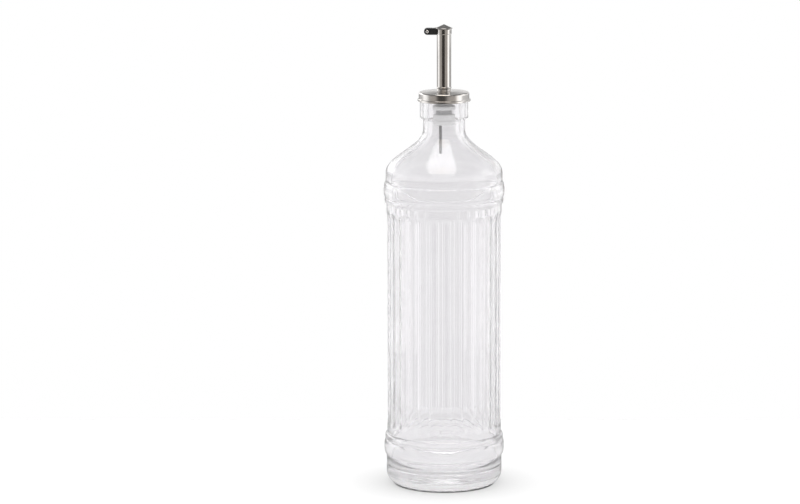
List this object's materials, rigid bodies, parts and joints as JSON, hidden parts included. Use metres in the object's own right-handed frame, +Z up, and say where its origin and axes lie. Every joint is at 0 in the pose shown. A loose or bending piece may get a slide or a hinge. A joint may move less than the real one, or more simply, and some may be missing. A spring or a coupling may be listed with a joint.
{
  "type": "oil and vinegar bottle",
  "caption": "Tall round clear glass bottle with a fluted body between two beads, and a steel pourer whose slim upright spout closes with a hinged cone lid.",
  "frame": {"origin": "centre of the foot, on the surface that the bottle stands on", "axes": "+Z up along the bottle's axis; -Y is the front of the pictured side, and the pourer's hinge points to -X"},
  "size_m": [0.0812, 0.0812, 0.313],
  "materials": {
    "clear_glass": "smooth and clear",
    "soft_plastic": "milky and translucent",
    "steel": "polished",
    "black_plastic": "satin"
  },
  "bodies": {
    "bottle": {"glass_bottle": "clear_glass", "stopper": "soft_plastic", "vent_tube": "steel", "cap": "steel", "spout": "steel", "hinge_ears": "black_plastic", "hinge_pin": "steel"},
    "lid": {"flip_lid": "steel"}
  },
  "joints": [
    {"name": "lid_hinge", "type": "hinge", "parent": "bottle", "child": "lid", "pos_m": [-0.0112, 0, 0.3083], "axis": [0, -1, 0], "range_deg": [0, 100]}
  ]
}
